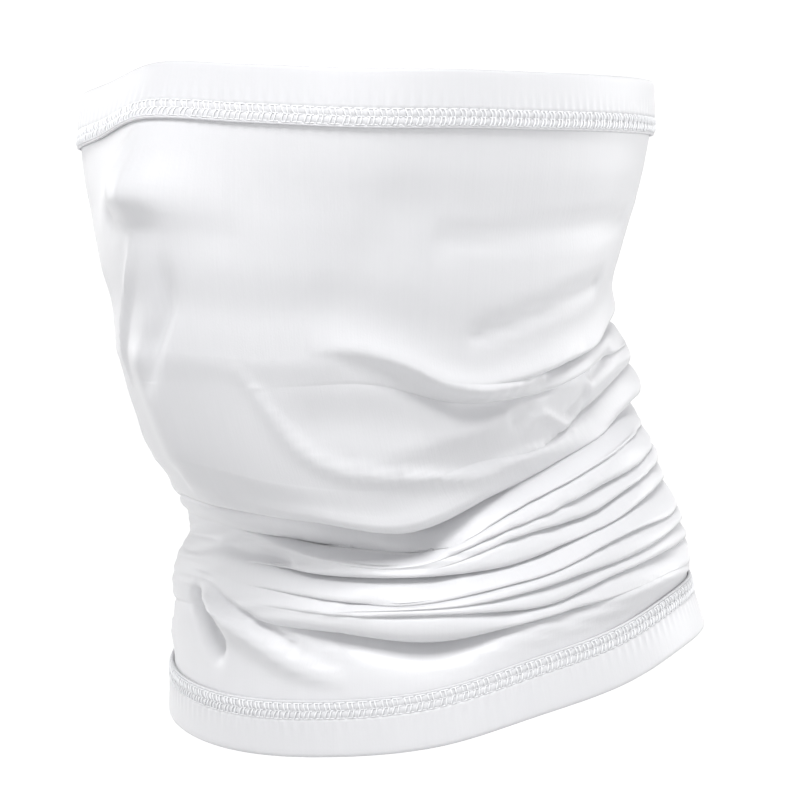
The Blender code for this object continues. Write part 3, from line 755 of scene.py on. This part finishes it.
def knit(name, light, shade, streaks, roughness, long=CLOTH_LONG, bump=0.10):
    """A fine jersey: streaks along the tube, tiny loops, a slightly uneven satin."""
    material = bpy.data.materials.new(name)
    material.use_nodes = True
    tree = material.node_tree
    shader = tree.nodes["Principled BSDF"]
    start = Wire(tree, None)
    place = start.out(start.node("ShaderNodeTexCoord"), "UV")

    def noise(size_round, size_long, detail):
        scale = (CLOTH_ROUND / size_round, long / size_long, 1.0)
        stretched = start.out(start.node("ShaderNodeVectorMath", {"operation": "MULTIPLY"},
                                         {0: place, 1: scale}))
        speckle = start.node("ShaderNodeTexNoise", {"noise_dimensions": "2D"},
                             {"Vector": stretched, "Scale": 1.0, "Detail": detail, "Roughness": 0.6})
        return start.out(speckle)

    ribs = noise(0.0008, 0.020, 2.0)
    broad = noise(0.0090, 0.120, 1.0)
    loops = noise(0.0006, 0.0007, 0.0)
    tone = (ribs - 0.5) * streaks + (broad - 0.5) * (0.6 * streaks) + 0.5
    colour = start.node("ShaderNodeMix", {"data_type": "RGBA"},
                        {0: tone, 6: (*shade, 1.0), 7: (*light, 1.0)})
    tree.links.new(colour.outputs[2], shader.inputs["Base Color"])
    tree.links.new((roughness + (ribs - 0.5) * 0.10).socket, shader.inputs["Roughness"])
    height = ribs * 0.6 + loops * 0.4
    relief = start.node("ShaderNodeBump", None, {"Strength": bump, "Distance": 0.0004, "Height": height})
    tree.links.new(relief.outputs[0], shader.inputs["Normal"])
    shader.inputs["Specular IOR Level"].default_value = 0.5
    shader.inputs["Sheen Weight"].default_value = 0.45
    shader.inputs["Sheen Roughness"].default_value = 0.4
    return material


body.data.materials.append(knit("cool knit", (0.705, 0.707, 0.724), (0.665, 0.668, 0.687), 0.55, 0.40))
for hem in (top_hem, bottom_hem):
    turned = knit("turned knit", (0.700, 0.702, 0.719), (0.660, 0.663, 0.682), 0.55, 0.42, HEM_LONG)
    hem.data.materials.append(turned)

# %% [markdown]
# ## The thread finish
# The stitches are textured polyester thread, whiter and a little shinier than the knit. They are
# too thin for a visible weave, so a soft change of tone along the thread is enough.

# %% Thread material


def thread_finish(name):
    """Bright textured thread with a slightly uneven tone."""
    material = bpy.data.materials.new(name)
    material.use_nodes = True
    tree = material.node_tree
    shader = tree.nodes["Principled BSDF"]
    start = Wire(tree, None)
    place = start.out(start.node("ShaderNodeTexCoord"), "Object")
    fluff = start.out(start.node("ShaderNodeTexNoise", None,
                                 {"Vector": place, "Scale": 900.0, "Detail": 1.0}))
    colour = start.node("ShaderNodeMix", {"data_type": "RGBA"},
                        {0: fluff, 6: (0.86, 0.87, 0.89, 1.0), 7: (0.93, 0.935, 0.945, 1.0)})
    tree.links.new(colour.outputs[2], shader.inputs["Base Color"])
    tree.links.new((0.42 + fluff * 0.15).socket, shader.inputs["Roughness"])
    return material


thread = thread_finish("stitch thread")
for stitches in (top_stitches, bottom_stitches):
    stitches.data.materials.append(thread)
print("materials:", [m.name for m in bpy.data.materials if m.users])

# %% [markdown]
# ## The floor
# The tube is held up as a head holds it, so the floor lies well below. It is a wide pale bowl with
# no visible horizon from any side. Away from the tube the paper has a painted glow, an emission
# that makes it look like a studio sweep lit to white from behind. The glow also shines onto the
# cloth. Right under the tube there is no glow and the paper keeps its own tone, so the undersides
# of the rolls stay in shade. The glow begins at NEAR and is full at FAR, two distances from the
# middle of the upper opening.

# %% Floor
FLOOR = -0.90
NEAR, FAR, GLOW = 1.20, 2.70, 0.55
bowl = bmesh.new()
bowl_profile = [(0.0, 0.0), (2.2, 0.0), (2.7, 0.10), (3.1, 0.35), (3.4, 0.9), (3.5, 2.0)]
rim = [bowl.verts.new((r, 0, FLOOR + z)) for r, z in bowl_profile]
edges = [bowl.edges.new(pair) for pair in zip(rim, rim[1:])]
bmesh.ops.spin(bowl, geom=rim + edges, cent=(0, 0, 0), axis=(0, 0, 1),
               angle=2 * math.pi, steps=64, use_merge=True)
bmesh.ops.remove_doubles(bowl, verts=bowl.verts, dist=1e-5)
bmesh.ops.recalc_face_normals(bowl, faces=bowl.faces)
if sum(face.normal.z for face in bowl.faces) < 0:
    bmesh.ops.reverse_faces(bowl, faces=bowl.faces)
floor_mesh = bpy.data.meshes.new("floor")
bowl.to_mesh(floor_mesh)
bowl.free()
floor_mesh.shade_smooth()
floor = bpy.data.objects.new("floor", floor_mesh)
bpy.context.scene.collection.objects.link(floor)
paper = bpy.data.materials.new("paper with painted glow")
paper.use_nodes = True
tree = paper.node_tree
shader = tree.nodes["Principled BSDF"]
shader.inputs["Base Color"].default_value = (0.80, 0.80, 0.80, 1)
shader.inputs["Roughness"].default_value = 0.9
start = Wire(tree, None)
away = start.out(start.node("ShaderNodeVectorMath", {"operation": "LENGTH"},
                            {0: start.out(start.node("ShaderNodeTexCoord"), "Object")}), "Value")
# painted glow: past NEAR the paper gives off light of its own, up to GLOW at FAR, which whitens the far
# floor and wall and lights the cloth
painted_glow = start.out(start.node("ShaderNodeMapRange", {"interpolation_type": "SMOOTHSTEP"},
                           {"Value": away, "From Min": NEAR, "From Max": FAR,
                            "To Min": 0.0, "To Max": GLOW}))
glow = start.node("ShaderNodeCombineColor", None, {0: painted_glow, 1: painted_glow, 2: painted_glow})
tree.links.new(glow.outputs[0], shader.inputs["Emission Color"])
shader.inputs["Emission Strength"].default_value = 1.0
floor.data.materials.append(paper)

# %% [markdown]
# ## Soft lights
# The key light is a large soft square high above the camera. Two weaker ones stand low, one at the
# left of the picture and one behind at its right, and lift the edges. An even, nearly white world
# fills the rest, since white cloth in a studio is never quite dark.

# %% Lights


def soft_light(name, turn, rise, distance, size, watts):
    """A square soft light that looks at the middle of the tube."""
    turn, rise = math.radians(turn), math.radians(rise)
    away = Vector((math.sin(turn) * math.cos(rise), -math.cos(turn) * math.cos(rise), math.sin(rise)))
    lamp = bpy.data.objects.new(name, bpy.data.lights.new(name, "AREA"))
    lamp.data.size, lamp.data.energy = size, watts
    lamp.location = Vector((0, 0.01, -0.11)) + away * distance
    lamp.rotation_mode = "QUATERNION"
    lamp.rotation_quaternion = (-away).to_track_quat("-Z", "Y")
    bpy.context.scene.collection.objects.link(lamp)
    print(name, "at", [round(v, 2) for v in lamp.location], watts, "W")


soft_light("key", 40, 55, 1.5, 0.7, 20.5)
soft_light("left side", -75, 12, 1.6, 0.9, 5)
soft_light("right side", 160, 12, 1.6, 0.9, 7)
world = bpy.data.worlds.new("studio")
world.use_nodes = True
world.node_tree.nodes["Background"].inputs[0].default_value = (0.99, 0.985, 1.0, 1)
world.node_tree.nodes["Background"].inputs[1].default_value = 0.25
bpy.context.scene.world = world
bpy.context.scene.view_settings.view_transform = "Standard"

# %% [markdown]
# ## Tying each piece to the rigid body
# Each visible piece moves with the one rigid body, and each cloth piece takes the place of its
# solid, which is hidden. A real tube like this is knitted about half a metre round, and its spare
# length is what the gathers take up.

# %% Attach the pieces
for piece, node in ((body, "body_tube"), (top_hem, "top_hem"), (bottom_hem, "bottom_hem")):
    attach(piece, "root")
    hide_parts(node)
for stitches in (top_stitches, bottom_stitches):
    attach(stitches, "root")
